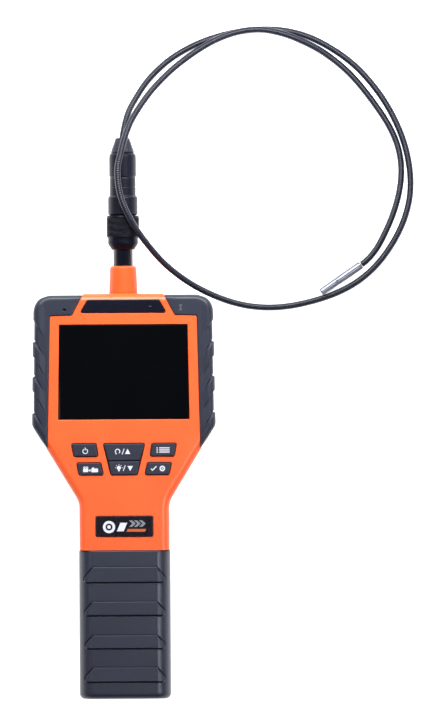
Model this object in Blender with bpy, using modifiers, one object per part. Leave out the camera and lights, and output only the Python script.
"""Hand-held inspection camera (borescope) with a colour screen, a keypad, a rubber-gripped handle and a
screw-coupled gooseneck probe that ends in a small metal camera head.

Frame: the instrument lies on its back.  +Z is up out of the screen, +Y runs from the handle towards the
neck and the probe, +X is to the right as the user reads the screen.  The origin is on the surface that the
back rests on, under the middle of the instrument.  Blender units are metres; the constants are millimetres.
"""

import math

import bmesh
import bpy
from mathutils import Matrix, Vector

MM = 0.001

# ---------------------------------------------------------------- driving dimensions (mm)
GAP = 0.3                     # clearance that touching pieces keep

# head and handle
TOP_Y = 72.1                  # top end of the orange shell, beside the neck
BUMPER_TOP_Y = 71.3           # top end of the rubber corners
HEAD_HALF_TOP = 51.3          # half width of the head just under its top corners
HEAD_HALF_LOW = 52.3          # half width of the head at its widest station
WIDE_Y = -3.8                 # the widest station, where the flare starts
BUMPER_END_Y = -17.4          # lower end of the rubber corners
HANDLE_HALF = 26.0            # half width of the orange part of the handle
FLARE_END_Y = -48.6           # the flare meets the handle here
GRIP_TOP_Y = -76.6            # the rubber grip starts here
HANDLE_END_Y = -162.4         # lower end of the handle
FRONT_Z = 34.0                # face of the orange shell
BACK_Z = 0.8                  # back of the orange shell
BUMPER_Z = 34.8               # face of the rubber corners
SPLIT_Z = 18.0                # the plane where the two shells meet
SKIN = 2.3                    # thickness of the rubber over the shell
WALL = 2.2                    # shell wall
INNER_FRONT_Z = 31.6          # inside of the orange face
SHOULDER_Z = 32.0             # shell height under the rubber corners

# grip sleeve
GRIP_HALF = 26.4
GRIP_Z = 34.4
GRIP_R_FRONT = 7.0
GRIP_R_BACK = 4.5
CORE_HALF = 24.2
CORE_Z0, CORE_Z1 = 2.3, 32.1
RIDGES = ((-86.3, -94.9), (-106.3, -114.0), (-125.8, -133.1), (-144.4, -152.4))
RIDGE_TOP_HALF, RIDGE_LOW_HALF = 18.4, 23.3
RIDGE_RISE = 0.8

# screen window
WIN_TOP_Y, WIN_LOW_Y = 54.2, -0.8
WIN_HALF_TOP, WIN_HALF_LOW = 37.2, 38.0

# neck, coupling and plug, all turned about one axis along Y
AXIS_Z = 18.0
COLLAR_END_Y = 87.9
TUBE_R = 5.7
SOCKET_END_Y = 112.0
NUT_Y0, NUT_LIP_Y, NUT_Y1 = 97.4, 104.4, 117.4
NUT_LIP_R, NUT_R = 8.8, 9.4
PLUG_STEPS_Y = (117.7, 128.5, 139.8, 153.7)
PLUG_R = (8.4, 7.25, 7.55)
NOSE_END_Y = 162.4
NOSE_R0, NOSE_R1 = 6.8, 4.2

# cable and camera head
CABLE_R = 1.9
TIP_R = 2.4
TIP_LEN = 28.2

# battery cells
CELL_R, CELL_LEN = 9.2, 65.2
CELL_X, CELL_Z, CELL_Y1 = 9.35, 14.0, -84.8

# ---------------------------------------------------------------- scene set-up
for _o in list(bpy.data.objects):
    bpy.data.objects.remove(_o, do_unlink=True)

PARTS = bpy.data.collections.new("inspection_camera")
CUTTERS = bpy.data.collections.new("cutters")
bpy.context.scene.collection.children.link(PARTS)
bpy.context.scene.collection.children.link(CUTTERS)


def material(name, rgb, roughness, metallic=0.0):
    m = bpy.data.materials.new(name)
    m.use_nodes = True
    p = m.node_tree.nodes["Principled BSDF"]
    p.inputs["Base Color"].default_value = (*rgb, 1.0)
    p.inputs["Roughness"].default_value = roughness
    p.inputs["Metallic"].default_value = metallic
    m.diffuse_color = (*rgb, 1.0)
    return m


MAT = {
    "orange": material("orange_plastic", (1.0, 0.16, 0.025), 0.42),
    "rubber": material("dark_rubber", (0.045, 0.05, 0.075), 0.62),
    "key": material("key_rubber", (0.035, 0.037, 0.055), 0.5),
    "black": material("black_plastic", (0.012, 0.012, 0.018), 0.3),
    "gloss": material("screen_glass", (0.003, 0.004, 0.005), 0.08),
    "lcd": material("lcd_grey", (0.05, 0.06, 0.07), 0.3),
    "board": material("circuit_board", (0.01, 0.11, 0.04), 0.45),
    "chip": material("chip_black", (0.02, 0.02, 0.022), 0.5),
    "coupling": material("coupling_black", (0.013, 0.014, 0.024), 0.32),
    "nose": material("nose_grey", (0.06, 0.063, 0.09), 0.5),
    "cable": material("cable_sheath", (0.02, 0.021, 0.034), 0.42),
    "steel": material("steel", (0.62, 0.63, 0.66), 0.3, 1.0),
    "silver": material("tip_metal", (0.72, 0.73, 0.78), 0.28, 1.0),
    "brass": material("contact_gold", (0.83, 0.62, 0.25), 0.3, 1.0),
    "cell": material("cell_wrap", (0.05, 0.2, 0.45), 0.35),
    "inner": material("inner_plastic", (0.06, 0.06, 0.065), 0.5),
    "glass": material("lens_glass", (0.02, 0.02, 0.03), 0.05),
}


def put(o, mat=None, cutter=False):
    for c in list(o.users_collection):
        c.objects.unlink(o)
    (CUTTERS if cutter else PARTS).objects.link(o)
    if cutter:
        o.hide_render = True
        o.display_type = "WIRE"
    if mat:
        o.data.materials.clear()
        o.data.materials.append(MAT[mat])
    return o


# ---------------------------------------------------------------- outlines
def rounded(corners, seg=4):
    """A closed outline from (x, y, radius) corners, with each corner turned into an arc."""
    out, n = [], len(corners)
    for i, (x, y, r) in enumerate(corners):
        if r <= 0:
            out.append((x, y))
            continue
        cur = Vector((x, y))
        a = (Vector(corners[i - 1][:2]) - cur).normalized()
        b = (Vector(corners[(i + 1) % n][:2]) - cur).normalized()
        half = math.acos(max(-1.0, min(1.0, a.dot(b)))) / 2
        mid = (a + b).normalized()
        centre = cur + mid * (r / math.sin(half))
        p0, p1 = cur + a * (r / math.tan(half)) - centre, cur + b * (r / math.tan(half)) - centre
        turn = math.pi - 2 * half
        steps = max(1, round(seg * turn / (math.pi / 2)))
        sign = 1 if p0.x * p1.y - p0.y * p1.x > 0 else -1
        for k in range(steps + 1):
            t = sign * turn * k / steps
            out.append((centre.x + p0.x * math.cos(t) - p0.y * math.sin(t),
                        centre.y + p0.x * math.sin(t) + p0.y * math.cos(t)))
    return out


def both_sides(right):
    """Corners of a symmetric outline from those of its right half, listed from top to bottom."""
    return list(right) + [(-x, y, r) for x, y, r in reversed(right)]


def area(p):
    return sum(p[i - 1][0] * p[i][1] - p[i][0] * p[i - 1][1] for i in range(len(p))) / 2


def inset(p, d):
    """The outline moved inwards by d (outwards if d is negative)."""
    s = 1 if area(p) > 0 else -1
    n, lines = len(p), []
    for i in range(n):
        a, b = Vector(p[i]), Vector(p[(i + 1) % n])
        u = (b - a).normalized()
        nrm = Vector((-u.y, u.x)) * s
        lines.append((a + nrm * d, u))
    out = []
    for i in range(n):
        (p1, u1), (p2, u2) = lines[i - 1], lines[i]
        den = u1.x * u2.y - u1.y * u2.x
        if abs(den) < 1e-6:
            out.append((p2.x, p2.y))
            continue
        w = p2 - p1
        t = (w.x * u2.y - w.y * u2.x) / den
        q = p1 + u1 * t
        out.append((q.x, q.y))
    return out


def inner_line(corners, d, seg=4):
    """The rounded outline moved inwards by d, with radii that stay concentric."""
    flat = [(x, y) for x, y, _ in corners]
    s, n, out = (1 if area(flat) > 0 else -1), len(flat), []
    for i, (x, y) in enumerate(inset(flat, d)):
        a, b, c = Vector(flat[i - 1]), Vector(flat[i]), Vector(flat[(i + 1) % n])
        turn = ((b - a).x * (c - b).y - (b - a).y * (c - b).x) * s
        r = corners[i][2]
        if r > 0:
            r = max(r - d, 0.8) if turn > 0 else r + d
        out.append((x, y, r))
    return rounded(out, seg)


def box_outline(x0, x1, y0, y1, r=0.0):
    return rounded([(x1, y1, r), (x1, y0, r), (x0, y0, r), (x0, y1, r)], 2)


# ---------------------------------------------------------------- solids
def clean_mesh(o):
    bm = bmesh.new()
    bm.from_mesh(o.data)
    bmesh.ops.remove_doubles(bm, verts=bm.verts, dist=1e-6)
    bmesh.ops.dissolve_limit(bm, angle_limit=0.002, verts=bm.verts, edges=bm.edges)
    bmesh.ops.recalc_face_normals(bm, faces=bm.faces)
    bm.to_mesh(o.data)
    bm.free()


def as_mesh(curve_obj, name):
    """A curve object turned into a mesh object that stands in the same place, its caps welded."""
    dg = bpy.context.evaluated_depsgraph_get()
    me = bpy.data.meshes.new_from_object(curve_obj.evaluated_get(dg))
    world = curve_obj.matrix_world.copy()
    bpy.data.objects.remove(curve_obj, do_unlink=True)
    o = bpy.data.objects.new(name, me)
    bpy.context.scene.collection.objects.link(o)
    o.matrix_world = world
    return o


def plate(name, pts, lo, hi, mat=None, cutter=False, along="Z"):
    """A flat outline in mm, extruded from lo to hi along Z (outline in XY) or along Y (outline in XZ)."""
    cu = bpy.data.curves.new(name, "CURVE")
    cu.dimensions = "2D"
    cu.fill_mode = "BOTH"
    sp = cu.splines.new("POLY")
    sp.points.add(len(pts) - 1)
    for q, (x, y) in zip(sp.points, pts):
        q.co = (x * MM, y * MM, 0, 1)
    sp.use_cyclic_u = True
    cu.extrude = (hi - lo) / 2 * MM
    co = bpy.data.objects.new(name + "_outline", cu)
    bpy.context.scene.collection.objects.link(co)
    bpy.context.view_layer.update()
    o = as_mesh(co, name)
    mid = (lo + hi) / 2 * MM
    if along == "Z":
        m = Matrix.Translation((0, 0, mid))
    else:  # the outline's second number is the height
        m = Matrix.Translation((0, mid, 0)) @ Matrix.Rotation(math.pi / 2, 4, "X")
    o.data.transform(m)
    clean_mesh(o)
    return put(o, mat, cutter)


def box(name, x, y, z, mat=None, cutter=False):
    bm = bmesh.new()
    bmesh.ops.create_cube(bm, size=1.0)
    bmesh.ops.scale(bm, vec=((x[1] - x[0]) * MM, (y[1] - y[0]) * MM, (z[1] - z[0]) * MM), verts=bm.verts)
    bmesh.ops.translate(bm, vec=((x[0] + x[1]) / 2 * MM, (y[0] + y[1]) / 2 * MM, (z[0] + z[1]) / 2 * MM), verts=bm.verts)
    me = bpy.data.meshes.new(name)
    bm.to_mesh(me)
    bm.free()
    o = bpy.data.objects.new(name, me)
    bpy.context.scene.collection.objects.link(o)
    return put(o, mat, cutter)


def cylinder(name, centre, r, lo, hi, mat=None, cutter=False, along="Z", sides=16, r2=None):
    """A round solid about Z (centre is x, y) or about Y (centre is x, z)."""
    bm = bmesh.new()
    bmesh.ops.create_cone(bm, cap_ends=True, segments=sides, radius1=r * MM,
                          radius2=(r if r2 is None else r2) * MM, depth=(hi - lo) * MM)
    mid = (lo + hi) / 2 * MM
    if along == "Z":
        m = Matrix.Translation((centre[0] * MM, centre[1] * MM, mid))
    else:
        m = Matrix.Translation((centre[0] * MM, mid, centre[1] * MM)) @ Matrix.Rotation(-math.pi / 2, 4, "X")
    bmesh.ops.transform(bm, matrix=m, verts=bm.verts)
    me = bpy.data.meshes.new(name)
    bm.to_mesh(me)
    bm.free()
    o = bpy.data.objects.new(name, me)
    bpy.context.scene.collection.objects.link(o)
    return put(o, mat, cutter)


def turned(name, profile, place, mat=None, cutter=False, steps=24, ring=False):
    """A turned piece: profile is (radius, station) in mm, from the far end down its outer side; a ring's profile
    is a closed loop.  place is the matrix that takes the turning axis (+Z, stations upwards) to its position."""
    me = bpy.data.meshes.new(name)
    verts = [(r * MM, 0, h * MM) for r, h in profile]
    edges = [(i, i + 1) for i in range(len(verts) - 1)]
    if ring:
        edges.append((len(verts) - 1, 0))
    me.from_pydata(verts, edges, [])
    o = bpy.data.objects.new(name, me)
    bpy.context.scene.collection.objects.link(o)
    o.matrix_world = place
    s = o.modifiers.new("turn", "SCREW")
    s.axis = "Z"
    s.angle = 2 * math.pi
    s.steps = s.render_steps = steps
    s.use_merge_vertices = True
    s.merge_threshold = 1e-5
    s.use_normal_calculate = False
    s.use_smooth_shade = True
    put(o, mat, cutter)
    dg = bpy.context.evaluated_depsgraph_get()
    solid = bpy.data.meshes.new_from_object(o.evaluated_get(dg))
    o.modifiers.clear()
    o.data = solid
    bm = bmesh.new()
    bm.from_mesh(o.data)
    bmesh.ops.remove_doubles(bm, verts=bm.verts, dist=1e-6)
    bmesh.ops.recalc_face_normals(bm, faces=bm.faces)
    bm.to_mesh(o.data)
    bm.free()
    o.data.shade_smooth()
    o.data.set_sharp_from_angle(angle=math.radians(35))
    if mat:
        o.data.materials.clear()
        o.data.materials.append(MAT[mat])
    return o


ALONG_Y = Matrix.Translation((0, 0, AXIS_Z * MM)) @ Matrix.Rotation(-math.pi / 2, 4, "X")


def joined(name, objs):
    """Several separate closed cutters or bosses gathered into one hidden object."""
    bm = bmesh.new()
    for q in objs:
        me = q.data.copy()
        me.transform(q.matrix_world)
        bm.from_mesh(me)
        bpy.data.meshes.remove(me)
        bpy.data.objects.remove(q, do_unlink=True)
    me = bpy.data.meshes.new(name)
    bm.to_mesh(me)
    bm.free()
    o = bpy.data.objects.new(name, me)
    bpy.context.scene.collection.objects.link(o)
    return put(o, cutter=True)


def boolean(o, other, op="DIFFERENCE"):
    m = o.modifiers.new(op.lower(), "BOOLEAN")
    m.operation = op
    m.solver = "EXACT"
    m.object = other
    return o


def bevel(o, width, segments=2, angle=30):
    b = o.modifiers.new("bevel", "BEVEL")
    b.width = width * MM
    b.segments = segments
    b.limit_method = "ANGLE"
    b.angle_limit = math.radians(angle)
    b.use_clamp_overlap = True
    return o


def bevel_flat_rims(o, width, segments=2, along="Z", at=None):
    """Rounds only the rims around the outline's flat ends, by edge weight, and leaves its upright corners.
    With at, only the rims whose height lies within it are rounded."""
    k = {"X": 0, "Y": 1, "Z": 2}[along]
    me = o.data
    layer = me.attributes.get("bevel_weight_edge") or me.attributes.new("bevel_weight_edge", "FLOAT", "EDGE")
    for e in me.edges:
        a, b = (me.vertices[v].co for v in e.vertices)
        on = abs(a[k] - b[k]) < 1e-7 and (at is None or at[0] * MM <= a[k] <= at[1] * MM)
        layer.data[e.index].value = 1.0 if on else 0.0
    b = o.modifiers.new("rims", "BEVEL")
    b.width = width * MM
    b.segments = segments
    b.limit_method = "WEIGHT"
    b.use_clamp_overlap = True
    return o


def origin_at(o, x, y, z):
    """Moves an object's own origin to a point, its shape staying where it is."""
    p = Vector((x, y, z)) * MM
    o.data.transform(Matrix.Translation(-p))
    o.matrix_world = Matrix.Translation(p) @ o.matrix_world
    return o


def smooth(o, angle=35):
    o.data.shade_smooth()
    o.data.set_sharp_from_angle(angle=math.radians(angle))
    return o


# ---------------------------------------------------------------- body outlines
body_right = [(HEAD_HALF_TOP + 0.1, TOP_Y, 10), (HEAD_HALF_LOW + 0.8, WIDE_Y, 4), (HANDLE_HALF, FLARE_END_Y, 10),
              (HANDLE_HALF, GRIP_TOP_Y + GAP, 0)]
rubber_right = [(HEAD_HALF_TOP, BUMPER_TOP_Y, 10), (HEAD_HALF_LOW, WIDE_Y, 3), (HANDLE_HALF, FLARE_END_Y, 10),
                (HANDLE_HALF, GRIP_TOP_Y + GAP, 0)]
body_line = rounded(both_sides(body_right), 5)
rubber_corners = both_sides(rubber_right)
rubber_line = rounded(rubber_corners, 5)

# the area outside the orange panel, right side: it holds the rubber corner
corner_right = [(22.0, 74.17), (29.7, 59.6), (42.5, 59.3), (44.2, BUMPER_END_Y), (70, BUMPER_END_Y), (70, 74.17)]
corner_left = [(-x, y) for x, y in reversed(corner_right)]


def orange_body(name, cutter=False):
    """The whole outer form of the two shells, before it is split and hollowed."""
    o = plate(name, body_line, BACK_Z, FRONT_Z, "orange", cutter)
    bevel_flat_rims(o, 4.5, 3)
    return o


def section(half, z0, z1, r_front, r_back, seg):
    return rounded([(half, z1, r_front), (half, z0, r_back), (-half, z0, r_back), (-half, z1, r_front)], seg)


handle_core = plate("handle_core", section(CORE_HALF, CORE_Z0, CORE_Z1, 5.0, 2.5, 3),
                    HANDLE_END_Y + 2.4, GRIP_TOP_Y + 5, cutter=True, along="Y")

# what the rubber corners take from the shells: the skin around the head and the shoulders on both faces
under_rubber = plate("under_rubber", inner_line(rubber_corners, SKIN), SKIN, SHOULDER_Z, cutter=True)
take = []
for side, line in (("right", corner_right), ("left", corner_left)):
    t = plate("rubber_room_" + side, line, -5, 40, cutter=True)
    boolean(t, under_rubber)
    take.append(t)

# hollow inside both shells
hollow_head = plate("hollow_head", inner_line(rubber_corners, SKIN + WALL, 3), CORE_Z0 + WALL, 29.7, cutter=True)
panel_line = [(25.0, 66.8), (27.9, 57.0), (40.2, 57.0), (41.8, -15.0), (40.2, -19.5), (23.4, -47.6), (23.4, -74.0)]
hollow_panel = plate("hollow_panel", panel_line + [(-x, y) for x, y in reversed(panel_line)], 20.0, INNER_FRONT_Z,
                     cutter=True)
hollow_handle = plate("hollow_handle", section(CORE_HALF - WALL, CORE_Z0 + WALL, CORE_Z1 - WALL, 3.0, 1.5, 2),
                      HANDLE_END_Y + 4.6, GRIP_TOP_Y + 6, cutter=True, along="Y")

neck_hole = cylinder("neck_hole", (0, AXIS_Z), 8.5, 60, 80, cutter=True, along="Y", sides=32)
port_hole = box("port_hole", (-40.0, -27.0), (64, 72), (15.5, 25.2), cutter=True)

SCREWS = [(20.5, 62.5), (37.5, -9.5), (20.0, -66.0)]
SCREWS = [(sx * x, y) for x, y in SCREWS for sx in (1, -1)]

# ---------------------------------------------------------------- keys
KEYS = {
    "power_key": [(-30.3, -14.7), (-16.2, -14.7), (-15.0, -22.0), (-29.0, -22.0)],
    "photo_key": [(-27.4, -25.8), (-13.6, -25.8), (-12.0, -32.7), (-26.0, -32.7)],
    "menu_key": [(16.2, -14.7), (30.3, -14.7), (29.0, -22.0), (15.0, -22.0)],
    "ok_key": [(13.6, -25.8), (27.4, -25.8), (26.0, -32.7), (12.0, -32.7)],
    "up_key": [(-12.0, -14.7), (12.0, -14.7), (9.15, -24.5), (-9.15, -24.5)],
    "down_key": [(-9.05, -25.0), (9.05, -25.0), (7.6, -32.7), (-7.6, -32.7)],
}
KEY_HOLES = [KEYS[k] for k in ("power_key", "photo_key", "menu_key", "ok_key")]
KEY_HOLES.append([(-12.0, -14.7), (12.0, -14.7), (7.6, -32.7), (-7.6, -32.7)])
KEY_TOP_Z = 34.9

window_line = [(WIN_HALF_TOP, WIN_TOP_Y), (WIN_HALF_LOW, WIN_LOW_Y), (-WIN_HALF_LOW, WIN_LOW_Y), (-WIN_HALF_TOP, WIN_TOP_Y)]
top_panel_line = rounded([(20.8, 68.4, 0.8), (25.1, 60.9, 0.8), (-25.1, 60.9, 0.8), (-20.8, 68.4, 0.8)], 2)
label_line = rounded([(16.6, -56.7, 0.9), (16.6, -68.6, 0.9), (-16.6, -68.6, 0.9), (-16.6, -56.7, 0.9)], 2)

# ---------------------------------------------------------------- front shell
front = orange_body("front_shell")
boolean(front, handle_core, "UNION")
boolean(front, take[0])
boolean(front, take[1])
boolean(front, box("below_split", (-80, 80), (-200, 120), (-10, SPLIT_Z + GAP / 2), cutter=True))
boolean(front, hollow_head)
boolean(front, hollow_panel)
boolean(front, hollow_handle)
front_bosses = joined("front_bosses", [cylinder("b", s, 3.2, SPLIT_Z + GAP / 2, 32.4, cutter=True) for s in SCREWS])
boolean(front, front_bosses, "UNION")
cuts = [cylinder("c", s, 1.75, SPLIT_Z - 2, 27.2, cutter=True, sides=10) for s in SCREWS]
cuts.append(plate("c", window_line, 28, 40, cutter=True))
cuts += [plate("c", inset(k, -GAP), 28, 40, cutter=True) for k in KEY_HOLES]
cuts.append(plate("c", inset(top_panel_line, -GAP), 33.2, 40, cutter=True))
cuts.append(plate("c", inset(label_line, -GAP), 33.4, 40, cutter=True))
cuts.append(cylinder("c", (-34.0, 62.8), 0.8, 28, 40, cutter=True, sides=8))
boolean(front, joined("front_openings", cuts))
boolean(front, neck_hole)
boolean(front, port_hole)
smooth(front)

# ---------------------------------------------------------------- rear shell
rear = orange_body("rear_shell")
boolean(rear, handle_core, "UNION")
boolean(rear, take[0])
boolean(rear, take[1])
boolean(rear, box("above_split", (-80, 80), (-200, 120), (SPLIT_Z - GAP / 2, 60), cutter=True))
boolean(rear, hollow_head)
boolean(rear, hollow_handle)
rear_bosses = joined("rear_bosses", [cylinder("b", s, 4.6 if s[1] > -60 else 3.6, 3.4, SPLIT_Z - GAP / 2, cutter=True) for s in SCREWS])
boolean(rear, rear_bosses, "UNION")
cuts = [cylinder("c", s, 1.75, 4.0, 25, cutter=True, sides=10) for s in SCREWS]
boolean(rear, joined("rear_screw_holes", cuts))
cuts = [cylinder("c", s, 3.1, -3, 6.4, cutter=True, sides=16) for s in SCREWS]
cuts.append(box("c", (-18.9, 18.9), (-154.8, -82.0), (-3, 6), cutter=True))
cuts.append(box("c", (-6.3, 6.3), (-75.4, -70.6), (-3, 8), cutter=True))
boolean(rear, joined("rear_openings", cuts))
boolean(rear, neck_hole)
boolean(rear, port_hole)
smooth(rear)

# ---------------------------------------------------------------- rubber corners
def rubber_corner(name, sign):
    o = plate(name, rubber_line, 0, BUMPER_Z, "rubber")
    bevel_flat_rims(o, 3.0, 3)
    pads = []
    for y0, y1 in ((45.4, 37.4), (24.9, 16.5), (3.4, -4.6)):
        x = HEAD_HALF_TOP + (BUMPER_TOP_Y - (y0 + y1) / 2) * 0.0135
        out = x + 0.85
        pads.append(plate("p", [(sign * 48.0, y0 - 0.2), (sign * (out - 0.1), y0), (sign * out, y0 - 1.0),
                                (sign * out, y1 + 1.6), (sign * 48.0, y1)], 3.4, 31.4, cutter=True))
    boolean(o, joined(name + "_pads", pads), "UNION")
    line = corner_right if sign > 0 else corner_left
    boolean(o, plate(name + "_area", inset(line, GAP), -5, 45, cutter=True), "INTERSECT")
    boolean(o, plate(name + "_inside", inner_line(rubber_corners, SKIN - GAP), SKIN - GAP, SHOULDER_Z + GAP, cutter=True))
    return smooth(o)


right_bumper = rubber_corner("right_bumper", 1)
left_bumper = rubber_corner("left_bumper", -1)
boolean(left_bumper, joined("left_bumper_openings", [
    box("c", (-41.8, -25.7), (68.2, 75), (11.7, 28.8), cutter=True),
    cylinder("c", (-34.0, 62.8), 0.75, 30, 40, cutter=True, sides=8)]))

# ---------------------------------------------------------------- grip sleeve
grip = plate("handle_grip", section(GRIP_HALF, 0, GRIP_Z, GRIP_R_FRONT, GRIP_R_BACK, 4), HANDLE_END_Y, GRIP_TOP_Y,
             "rubber", along="Y")
bevel_flat_rims(grip, 3.0, 2, along="Y", at=(HANDLE_END_Y - 1, HANDLE_END_Y + 1))
ridge_skin = plate("ridge_skin", section(GRIP_HALF + 0.2, 5, GRIP_Z + RIDGE_RISE, GRIP_R_FRONT + 0.6, 0, 4),
                   HANDLE_END_Y, GRIP_TOP_Y, cutter=True, along="Y")
ridges = joined("ridge_plan", [plate("r", rounded([(RIDGE_TOP_HALF, y0, 1.0), (RIDGE_LOW_HALF, y1, 2.0),
                                                  (-RIDGE_LOW_HALF, y1, 2.0), (-RIDGE_TOP_HALF, y0, 1.0)], 2),
                                    29.5, 40, cutter=True) for y0, y1 in RIDGES])
boolean(ridges, ridge_skin, "INTERSECT")
boolean(grip, ridges, "UNION")
boolean(grip, plate("grip_inside", section(CORE_HALF + GAP, CORE_Z0 - GAP, CORE_Z1 + GAP, 5.2, 2.6, 3),
                    HANDLE_END_Y + 2.1, GRIP_TOP_Y + 10, cutter=True, along="Y"))
boolean(grip, box("grip_door_slot", (-19.2, 19.2), (-170, -79.6), (-5, 2.2), cutter=True))
boolean(grip, box("grip_door_rails", (-20.6, 20.6), (-170, -79.6), (0.85, 2.15), cutter=True))
smooth(grip)

# ---------------------------------------------------------------- battery door, latch, cells
door = box("battery_door", (-18.9, 18.9), (HANDLE_END_Y + 0.3, -79.9), (0.15, 1.95), "rubber")
boolean(door, box("door_rails", (-20.3, 20.3), (HANDLE_END_Y + 0.3, -79.9), (1.1, 1.95), cutter=True), "UNION")
boolean(door, joined("door_finger_grooves", [box("g", (-9, 9), (-92.0 - 2.4 * i, -91.0 - 2.4 * i), (-1, 0.6), cutter=True)
                                            for i in range(4)]))
origin_at(door, 0, -79.9, 1.0)

latch = plate("door_latch", [(6.0, 1.1), (6.0, 4.8), (7.4, 4.8), (7.4, 6.0), (-7.4, 6.0), (-7.4, 4.8), (-6.0, 4.8), (-6.0, 1.1)],
              -75.1, -70.9, "black", along="Y")
origin_at(latch, 0, -73.0, 1.1)

for i, sx in ((1, -1), (2, 1)):
    place = Matrix.Translation((sx * CELL_X * MM, 0, CELL_Z * MM)) @ Matrix.Rotation(-math.pi / 2, 4, "X")
    y1, y0 = CELL_Y1, CELL_Y1 - CELL_LEN
    turned("battery_cell_%d" % i, [(0, y1), (3.6, y1), (3.6, y1 - 1.5), (CELL_R - 0.6, y1 - 1.5), (CELL_R, y1 - 2.2),
                                   (CELL_R, y0 + 0.5), (CELL_R - 0.5, y0), (0, y0)], place, "cell", steps=16)
    # coil spring that presses on the cell's flat end
    cu = bpy.data.curves.new("cell_spring_%d" % i, "CURVE")
    cu.dimensions = "3D"
    cu.bevel_depth = 0.45 * MM
    cu.bevel_resolution = 2
    cu.use_fill_caps = True
    turns, per = 2.5, 9
    n = int(turns * per)
    sp = cu.splines.new("POLY")
    sp.points.add(n)
    for k in range(n + 1):
        t = k / n
        ang = 2 * math.pi * turns * t
        rr = 5.2 - 2.2 * t
        sp.points[k].co = ((sx * CELL_X + rr * math.cos(ang)) * MM, (-156.9 + 5.9 * t) * MM, (CELL_Z + rr * math.sin(ang)) * MM, 1)
    so = bpy.data.objects.new("cell_spring_%d" % i, cu)
    bpy.context.scene.collection.objects.link(so)
    put(so, "steel")

contact_plate = plate("cell_contact_plate", box_outline(-17.5, 17.5, 6.5, 21.5, 1.5), -84.4, -83.9, "steel", along="Y")
cradle = plate("cell_cradle", [(21.4, 18.0), (21.4, 27.0), (19.0, 29.3), (-19.0, 29.3), (-21.4, 27.0), (-21.4, 18.0)],
               -150.5, -86.5, "inner", along="Y")
for sx in (-1, 1):
    boolean(cradle, cylinder("cradle_trough", (sx * CELL_X, CELL_Z), CELL_R + 0.4, -155, -80, cutter=True, along="Y", sides=28))
smooth(cradle)

# ---------------------------------------------------------------- keys, mat and their icons' carriers
for name, line in KEYS.items():
    key = plate(name, line, 29.9, KEY_TOP_Z, "key")
    bevel_flat_rims(key, 0.5, 2, at=(KEY_TOP_Z - 0.1, KEY_TOP_Z + 0.1))
    xs, ys = [p[0] for p in line], [p[1] for p in line]
    w0, w1, y0, y1 = min(xs), max(xs), min(ys), max(ys)
    reach = 0.9 if name in ("up_key", "down_key") else 1.0
    ears = box("ears", (w0 - reach + (1.3 if name == "down_key" else 0), w1 + reach - (1.3 if name == "down_key" else 0)),
               (y0 + 2.2, y1 - 1.8), (29.9, 31.1), cutter=True)
    boolean(key, ears, "UNION")
    origin_at(key, (w0 + w1) / 2, (y0 + y1) / 2, KEY_TOP_Z)

mat_plate = plate("keypad_mat", rounded(both_sides([(33.0, -12.4, 2), (33.0, -24.0, 2), (28.6, -35.0, 2)]), 2), 26.4, 27.9, "key")
domes = [cylinder("d", (sum(p[0] for p in line) / 4, sum(p[1] for p in line) / 4), 2.6, 27.0, 28.8, cutter=True, r2=1.8, sides=12)
         for line in KEYS.values()]
boolean(mat_plate, joined("mat_domes", domes), "UNION")

# ---------------------------------------------------------------- screen
plate("screen_lens", inset(window_line, GAP), 31.75, 33.4, "gloss")
gasket = plate("screen_gasket", box_outline(-39.6, 39.6, -3.4, 56.5), 31.1, 31.35, "inner")
boolean(gasket, plate("gasket_window", inset(window_line, -0.4), 30, 33, cutter=True))
plate("lcd_module", box_outline(-38.4, 38.4, -4.0, 56.8), 27.8, 30.8, "lcd")

# ---------------------------------------------------------------- boards and electronics
board_line = [(-26.6, 64.0), (-26.6, 51.5), (35.5, 51.5), (35.5, 0.0), (32.5, -6.0), (32.0, -14.0), (24.0, -36.0),
              (-24.0, -36.0), (-32.0, -14.0), (-32.5, -6.0), (-35.5, 0.0), (-35.5, 40.0), (-41.0, 40.0), (-41.0, 64.0)]
plate("main_board", board_line, 20.5, 22.1, "board")
plate("processor_chip", box_outline(-9.0, 5.0, 14.0, 28.0), 22.4, 24.0, "chip")
plate("memory_chip", box_outline(12.0, 22.0, 12.0, 26.0), 22.4, 23.6, "chip")
cylinder("microphone", (-34.0, 62.4), 2.0, 26.2, 29.2, "steel", sides=12)
usb = box("usb_port", (-38.2, -30.4), (58.2, 66.0), (16.9, 20.2), "steel")
boolean(usb, box("usb_mouth", (-37.7, -30.9), (60.0, 68), (17.4, 19.7), cutter=True))
card = box("card_slot", (-40.0, -28.4), (54.0, 66.0), (22.4, 24.4), "steel")
boolean(card, box("card_mouth", (-39.5, -28.9), (55.5, 68), (22.8, 24.0), cutter=True))

# port cover: a rubber flap that swings about its outer edge
flap = box("port_flap", (-41.5, -26.0), (69.4, 71.2), (12.0, 28.5), "rubber")
boolean(flap, box("flap_plug", (-38.9, -28.3), (68.0, 70.0), (16.4, 24.4), cutter=True), "UNION")
boolean(flap, cylinder("flap_nick", (-25.6, 20.2), 1.6, 68, 73, cutter=True, along="Y", sides=12))
origin_at(flap, -41.5, 71.2, 20.2)

plate("top_panel", top_panel_line, 33.5, 34.5, "black")
plate("label_plate", label_line, 33.7, 34.4, "black")

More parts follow.
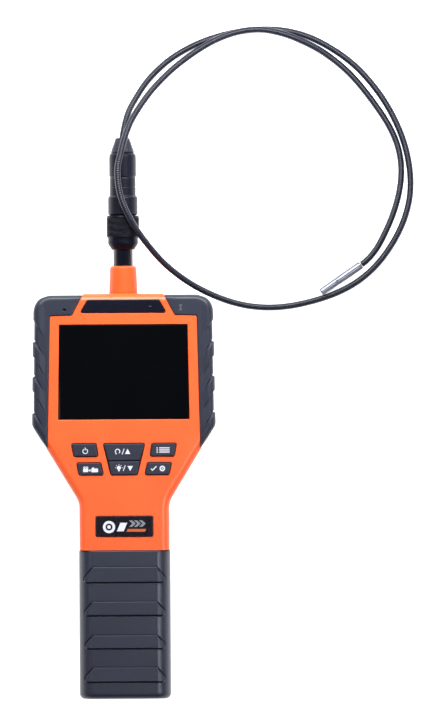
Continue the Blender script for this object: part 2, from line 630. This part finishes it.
# ---------------------------------------------------------------- neck
turned("neck_collar", [(6.0, 87.9), (6.9, 87.9), (7.5, 87.5), (7.75, 86.7), (8.2, 72.4), (8.2, 66.5), (10.4, 66.5), (10.4, 63.9),
                       (6.0, 63.9)], ALONG_Y, "orange", steps=24, ring=True)
turned("neck_socket", [(4.6, SOCKET_END_Y), (5.3, SOCKET_END_Y), (TUBE_R, SOCKET_END_Y - 0.4), (TUBE_R, 57.0), (4.6, 57.0)],
       ALONG_Y, "black", steps=20, ring=True)
nut = plate("socket_nut", [(8.6 * math.cos(math.radians(60 * k)), AXIS_Z + 8.6 * math.sin(math.radians(60 * k))) for k in range(6)],
            60.0, 63.6, "steel", along="Y")
boolean(nut, cylinder("socket_nut_bore", (0, AXIS_Z), 6.0, 50, 70, cutter=True, along="Y", sides=28))
insert = turned("socket_insert", [(0, 100.2), (4.3, 100.2), (4.3, 90.0), (0, 90.0)], ALONG_Y, "inner", steps=20)
PINS = [(1.6 * math.cos(math.radians(45 + 90 * k)), AXIS_Z + 1.6 * math.sin(math.radians(45 + 90 * k))) for k in range(4)]
boolean(insert, joined("insert_holes", [cylinder("h", p, 0.8, 93.0, 104, cutter=True, along="Y", sides=8) for p in PINS]))
for i, p in enumerate(PINS):
    cylinder("plug_pin_%d" % (i + 1), p, 0.45, 94.0, 108.4, "brass", along="Y", sides=8)

# wires from the socket to the board
cu = bpy.data.curves.new("socket_harness", "CURVE")
cu.dimensions = "3D"
cu.bevel_depth = 1.2 * MM
cu.bevel_resolution = 2
cu.use_fill_caps = True
sp = cu.splines.new("POLY")
HARNESS = [(0, 89.6, 18.0), (0, 75, 18.0), (0, 60, 18.0), (0, 54, 17.2), (2, 49, 15.0), (4, 44, 14.4), (6, 38, 15.4), (7, 34, 17.4), (7, 33, 20.1)]
sp.points.add(len(HARNESS) - 1)
for q, c in zip(sp.points, HARNESS):
    q.co = (c[0] * MM, c[1] * MM, c[2] * MM, 1)
harness = bpy.data.objects.new("socket_harness", cu)
bpy.context.scene.collection.objects.link(harness)
put(harness, "chip")

# ---------------------------------------------------------------- coupling nut, plug and strain relief
nut_profile = [(6.0, NUT_Y1), (9.0, NUT_Y1), (NUT_R, NUT_Y1 - 0.6), (NUT_R, NUT_LIP_Y + 0.5), (NUT_LIP_R, NUT_LIP_Y),
               (NUT_LIP_R, NUT_Y0 + 3.6), (6.3, NUT_Y0), (6.0, NUT_Y0), (6.0, 112.3), (7.2, 112.3), (7.2, 115.2), (6.0, 115.2)]
union_nut = turned("union_nut", nut_profile, ALONG_Y, "coupling", steps=24, ring=True)

plug_profile = [(3.2, PLUG_STEPS_Y[3]), (6.6, PLUG_STEPS_Y[3]), (PLUG_R[2], PLUG_STEPS_Y[3] - 1.6), (PLUG_R[2], PLUG_STEPS_Y[2]),
                (PLUG_R[1], PLUG_STEPS_Y[2] - 0.4), (PLUG_R[1], PLUG_STEPS_Y[1]), (PLUG_R[0] - 0.6, PLUG_STEPS_Y[1] - 0.3),
                (PLUG_R[0], PLUG_STEPS_Y[1] - 1.0), (PLUG_R[0], PLUG_STEPS_Y[0]), (5.65, PLUG_STEPS_Y[0]), (5.65, 114.8), (6.8, 114.8),
                (6.8, 112.7), (4.2, 112.7), (4.2, 110.4), (3.65, 110.4), (3.65, 108.6), (4.2, 108.6), (4.2, 101.0), (3.2, 101.0)]
turned("plug_body", plug_profile, ALONG_Y, "coupling", steps=24, ring=True)
plug_insert = turned("plug_insert", [(0, 108.0), (2.9, 108.0), (2.9, 101.6), (0, 101.6)], ALONG_Y, "inner", steps=20)
boolean(plug_insert, joined("plug_insert_holes", [cylinder("h", p, 0.75, 99, 110, cutter=True, along="Y", sides=8) for p in PINS]))

ring_pts = [(4.05 + 0.32 * math.cos(a), 109.5 + 0.32 * math.sin(a)) for a in (math.radians(90 - 60 * k) for k in range(6))]
turned("seal_ring", ring_pts, ALONG_Y, "rubber", steps=20, ring=True)

turned("strain_relief", [(2.2, NOSE_END_Y), (NOSE_R1 - 0.5, NOSE_END_Y), (NOSE_R1, NOSE_END_Y - 0.6), (NOSE_R0, 154.0), (2.85, 154.0),
                         (2.85, 146.5), (2.2, 146.5)], ALONG_Y, "nose", steps=24, ring=True)

# ---------------------------------------------------------------- cable
FIRST_X, SECOND_X, LOOP_Y = 81.35, 81.65, 145.0   # middles of the cable's two turns
REST_Z = CABLE_R + 0.08             # height of the cable's centre where it lies on the floor
OVER_Z = REST_Z + 2 * CABLE_R + 0.2  # height where it lies on its own lower turn


LOOP_TURN = math.radians(-0.33)     # the loop lies turned by this much about the neck's root


def around(middle, angle, radius):
    a = math.radians(angle)
    return middle + radius * math.cos(a), LOOP_Y + radius * math.sin(a)


def laid(p):
    """A point of the loop, turned about the neck's root."""
    x, y = p[0], p[1] - TOP_Y
    return Vector((x * math.cos(LOOP_TURN) - y * math.sin(LOOP_TURN), TOP_Y + x * math.sin(LOOP_TURN) + y * math.cos(LOOP_TURN), p[2]))


def route():
    """Points that the cable passes, from inside the strain relief to the back of the camera head."""
    pts = [(0, 150.0, AXIS_Z), (0, 157.0, AXIS_Z), (0, NOSE_END_Y, AXIS_Z), (0.2, 167.0, 17.6), (1.5, 173.0, 15.6), (3.5, 179.0, 12.4), (6.9, 185.2, 8.8)]
    outer = [(144, 84.6, 5.2), (137, 84.05, 3.0), (130, 83.55, REST_Z), (120, 82.4, REST_Z), (110, 81.4, REST_Z), (100, 80.95, REST_Z),
             (90, 81, REST_Z), (80, 81.2, REST_Z), (70, 80.95, REST_Z), (60, 80.2, REST_Z), (50, 80.1, REST_Z), (40, 79.95, REST_Z),
             (30, 80.45, REST_Z), (20, 81.55, REST_Z), (10, 83.25, REST_Z), (0, 85.05, REST_Z), (-10, 86.65, REST_Z), (-20, 87.05, REST_Z),
             (-30, 86.75, REST_Z), (-40, 86.55, REST_Z), (-50, 85.7, REST_Z), (-60, 83.95, REST_Z), (-70, 82.2, REST_Z),
             (-80, 81.4, REST_Z), (-90, 80.85, REST_Z), (-100, 80.2, REST_Z + 0.3), (-110, 79.45, REST_Z + 2.0),
             (-120, 79.3, REST_Z + 6.0), (-130, 79.6, REST_Z + 12.0), (-140, 80.3, REST_Z + 19.5)]
    for a, r, z in outer:
        pts.append((*around(FIRST_X, a, r), z))
    pts += [(6.9, 110.2, 28.2), (2.8, 117.7, 29.9), (-1.0, 126.4, 30.2), (-3.0, 136.3, 29.7), (-3.2, 145.9, 29.0),
            (-1.6, 152.5, 28.0), (0.8, 162.4, 25.2), (2.9, 168.2, 23.0), (5.1, 173.4, 20.6)]
    inner = [(149, 79.8, 15.6), (142, 78.9, 12.6), (134, 78.4, 9.6), (126, 78.3, 7.2), (118, 78.85, OVER_Z), (110, 79.9, OVER_Z),
             (100, 80.9, OVER_Z), (90, 80.7, OVER_Z), (80, 78.6, OVER_Z), (74, 77.3, OVER_Z - 0.6), (67, 76.3, 3.6), (60, 75.4, REST_Z),
             (50, 74.5, REST_Z), (40, 73.9, REST_Z), (30, 74.45, REST_Z), (20, 76.5, REST_Z), (10, 78.8, REST_Z), (0, 79.9, REST_Z),
             (-10, 79.8, REST_Z), (-19.6, 79.5, REST_Z), (-25, 79.5, REST_Z), (-28.7, 79.65, REST_Z), (-32.4, 80, REST_Z),
             (-35.6, 80.25, REST_Z)]
    for a, r, z in inner:
        pts.append((*around(SECOND_X, a, r), z))
    pts.append((143.3, 93.6, 2.3))
    back = (TIP_FRONT - TIP_BASE).normalized()
    return [Vector(p) for p in pts[:3]] + [laid(p) for p in pts[3:]] + [TIP_BASE - back * 2.4, TIP_BASE - back * 0.5]


# the camera head lies on the floor at its back end, and its front end rests on the cable's lower turn
TIP_BASE, TIP_FRONT = laid((137.9, 89.0, TIP_R + 0.15)), laid((114.8, 73.0, 4.65))
tip_dir = (TIP_FRONT - TIP_BASE).normalized()


def smooth_line(pts, spacing):
    """Evenly spaced points on a centripetal Catmull-Rom curve through the route's points."""
    p = [pts[0] * 2 - pts[1], *pts, pts[-1] * 2 - pts[-2]]
    fine = []
    for i in range(1, len(p) - 2):
        a, b, c, d = p[i - 1], p[i], p[i + 1], p[i + 2]
        t0 = 0.0
        t1 = t0 + (b - a).length ** 0.5
        t2 = t1 + (c - b).length ** 0.5
        t3 = t2 + (d - c).length ** 0.5
        for k in range(12):
            t = t1 + (t2 - t1) * k / 12
            a1 = a * ((t1 - t) / (t1 - t0)) + b * ((t - t0) / (t1 - t0))
            a2 = b * ((t2 - t) / (t2 - t1)) + c * ((t - t1) / (t2 - t1))
            a3 = c * ((t3 - t) / (t3 - t2)) + d * ((t - t2) / (t3 - t2))
            b1 = a1 * ((t2 - t) / (t2 - t0)) + a2 * ((t - t0) / (t2 - t0))
            b2 = a2 * ((t3 - t) / (t3 - t1)) + a3 * ((t - t1) / (t3 - t1))
            fine.append(b1 * ((t2 - t) / (t2 - t1)) + b2 * ((t - t1) / (t2 - t1)))
    fine.append(pts[-1])
    for _ in range(30):                    # a stiff cable has no small wiggles
        q = list(fine)
        for i in range(24, len(fine) - 5):
            q[i] = fine[i] * 0.5 + (fine[i - 1] + fine[i + 1]) * 0.25
        fine = q
    out, run, total = [fine[0]], 0.0, sum((fine[i + 1] - fine[i]).length for i in range(len(fine) - 1))
    n = round(total / spacing)
    step = total / n
    want = step
    for i in range(len(fine) - 1):
        seg = (fine[i + 1] - fine[i]).length
        while run + seg >= want - 1e-9 and len(out) < n:
            out.append(fine[i].lerp(fine[i + 1], (want - run) / seg))
            want += step
        run += seg
    out.append(fine[-1])
    return out, total


cable_pts = route()
line, cable_length = smooth_line(cable_pts, 10.4)
cu = bpy.data.curves.new("probe_cable", "CURVE")
cu.dimensions = "3D"
cu.bevel_depth = CABLE_R * MM
cu.bevel_resolution = 2
cu.use_fill_caps = True
sp = cu.splines.new("POLY")
sp.points.add(len(line) - 1)
for q, c in zip(sp.points, line):
    q.co = (c.x * MM, c.y * MM, c.z * MM, 1)
cable = bpy.data.objects.new("probe_cable", cu)
bpy.context.scene.collection.objects.link(cable)
put(cable, "cable")
print("cable: length %.1f mm, %d points, lowest centre %.2f" % (cable_length, len(line), min(p.z for p in line)))

# ---------------------------------------------------------------- camera head, turned about its own axis
TIP = Matrix.Translation(TIP_BASE * MM) @ tip_dir.to_track_quat("Z", "Y").to_matrix().to_4x4()
turned("tip_sleeve", [(1.75, 16.9), (2.15, 16.9), (TIP_R - 0.08, 16.7), (TIP_R, 0.5), (2.0, 0.0), (1.75, 0.0)], TIP, "silver", steps=20, ring=True)
turned("tip_head", [(1.75, TIP_LEN), (1.9, TIP_LEN), (2.1, TIP_LEN - 0.4), (TIP_R - 0.1, 17.5), (2.15, 17.2), (1.75, 17.2)], TIP, "silver",
       steps=20, ring=True)
turned("tip_window", [(0, TIP_LEN - 0.3), (1.45, TIP_LEN - 0.3), (1.45, TIP_LEN - 1.2), (0, TIP_LEN - 1.2)], TIP, "glass", steps=16)
led = turned("led_ring", [(0.85, TIP_LEN - 1.5), (1.45, TIP_LEN - 1.5), (1.45, TIP_LEN - 2.2), (0.85, TIP_LEN - 2.2)], TIP, "brass", steps=16, ring=True)
turned("camera_module", [(0, TIP_LEN - 2.6), (0.75, TIP_LEN - 2.6), (0.75, TIP_LEN - 4.4), (1.45, TIP_LEN - 4.4), (1.45, TIP_LEN - 9.6),
                         (0, TIP_LEN - 9.6)], TIP, "chip", steps=14)

# ---------------------------------------------------------------- case screws, driven from the back
for i, (x, y) in enumerate(SCREWS):
    place = Matrix.Translation((x * MM, y * MM, 0))
    turned("case_screw_%d" % (i + 1), [(0, 25.2), (1.0, 25.2), (1.4, 24.0), (1.4, 6.1), (2.7, 6.1), (2.7, 4.9), (2.0, 4.2), (0, 4.2)],
           place, "steel", steps=12)
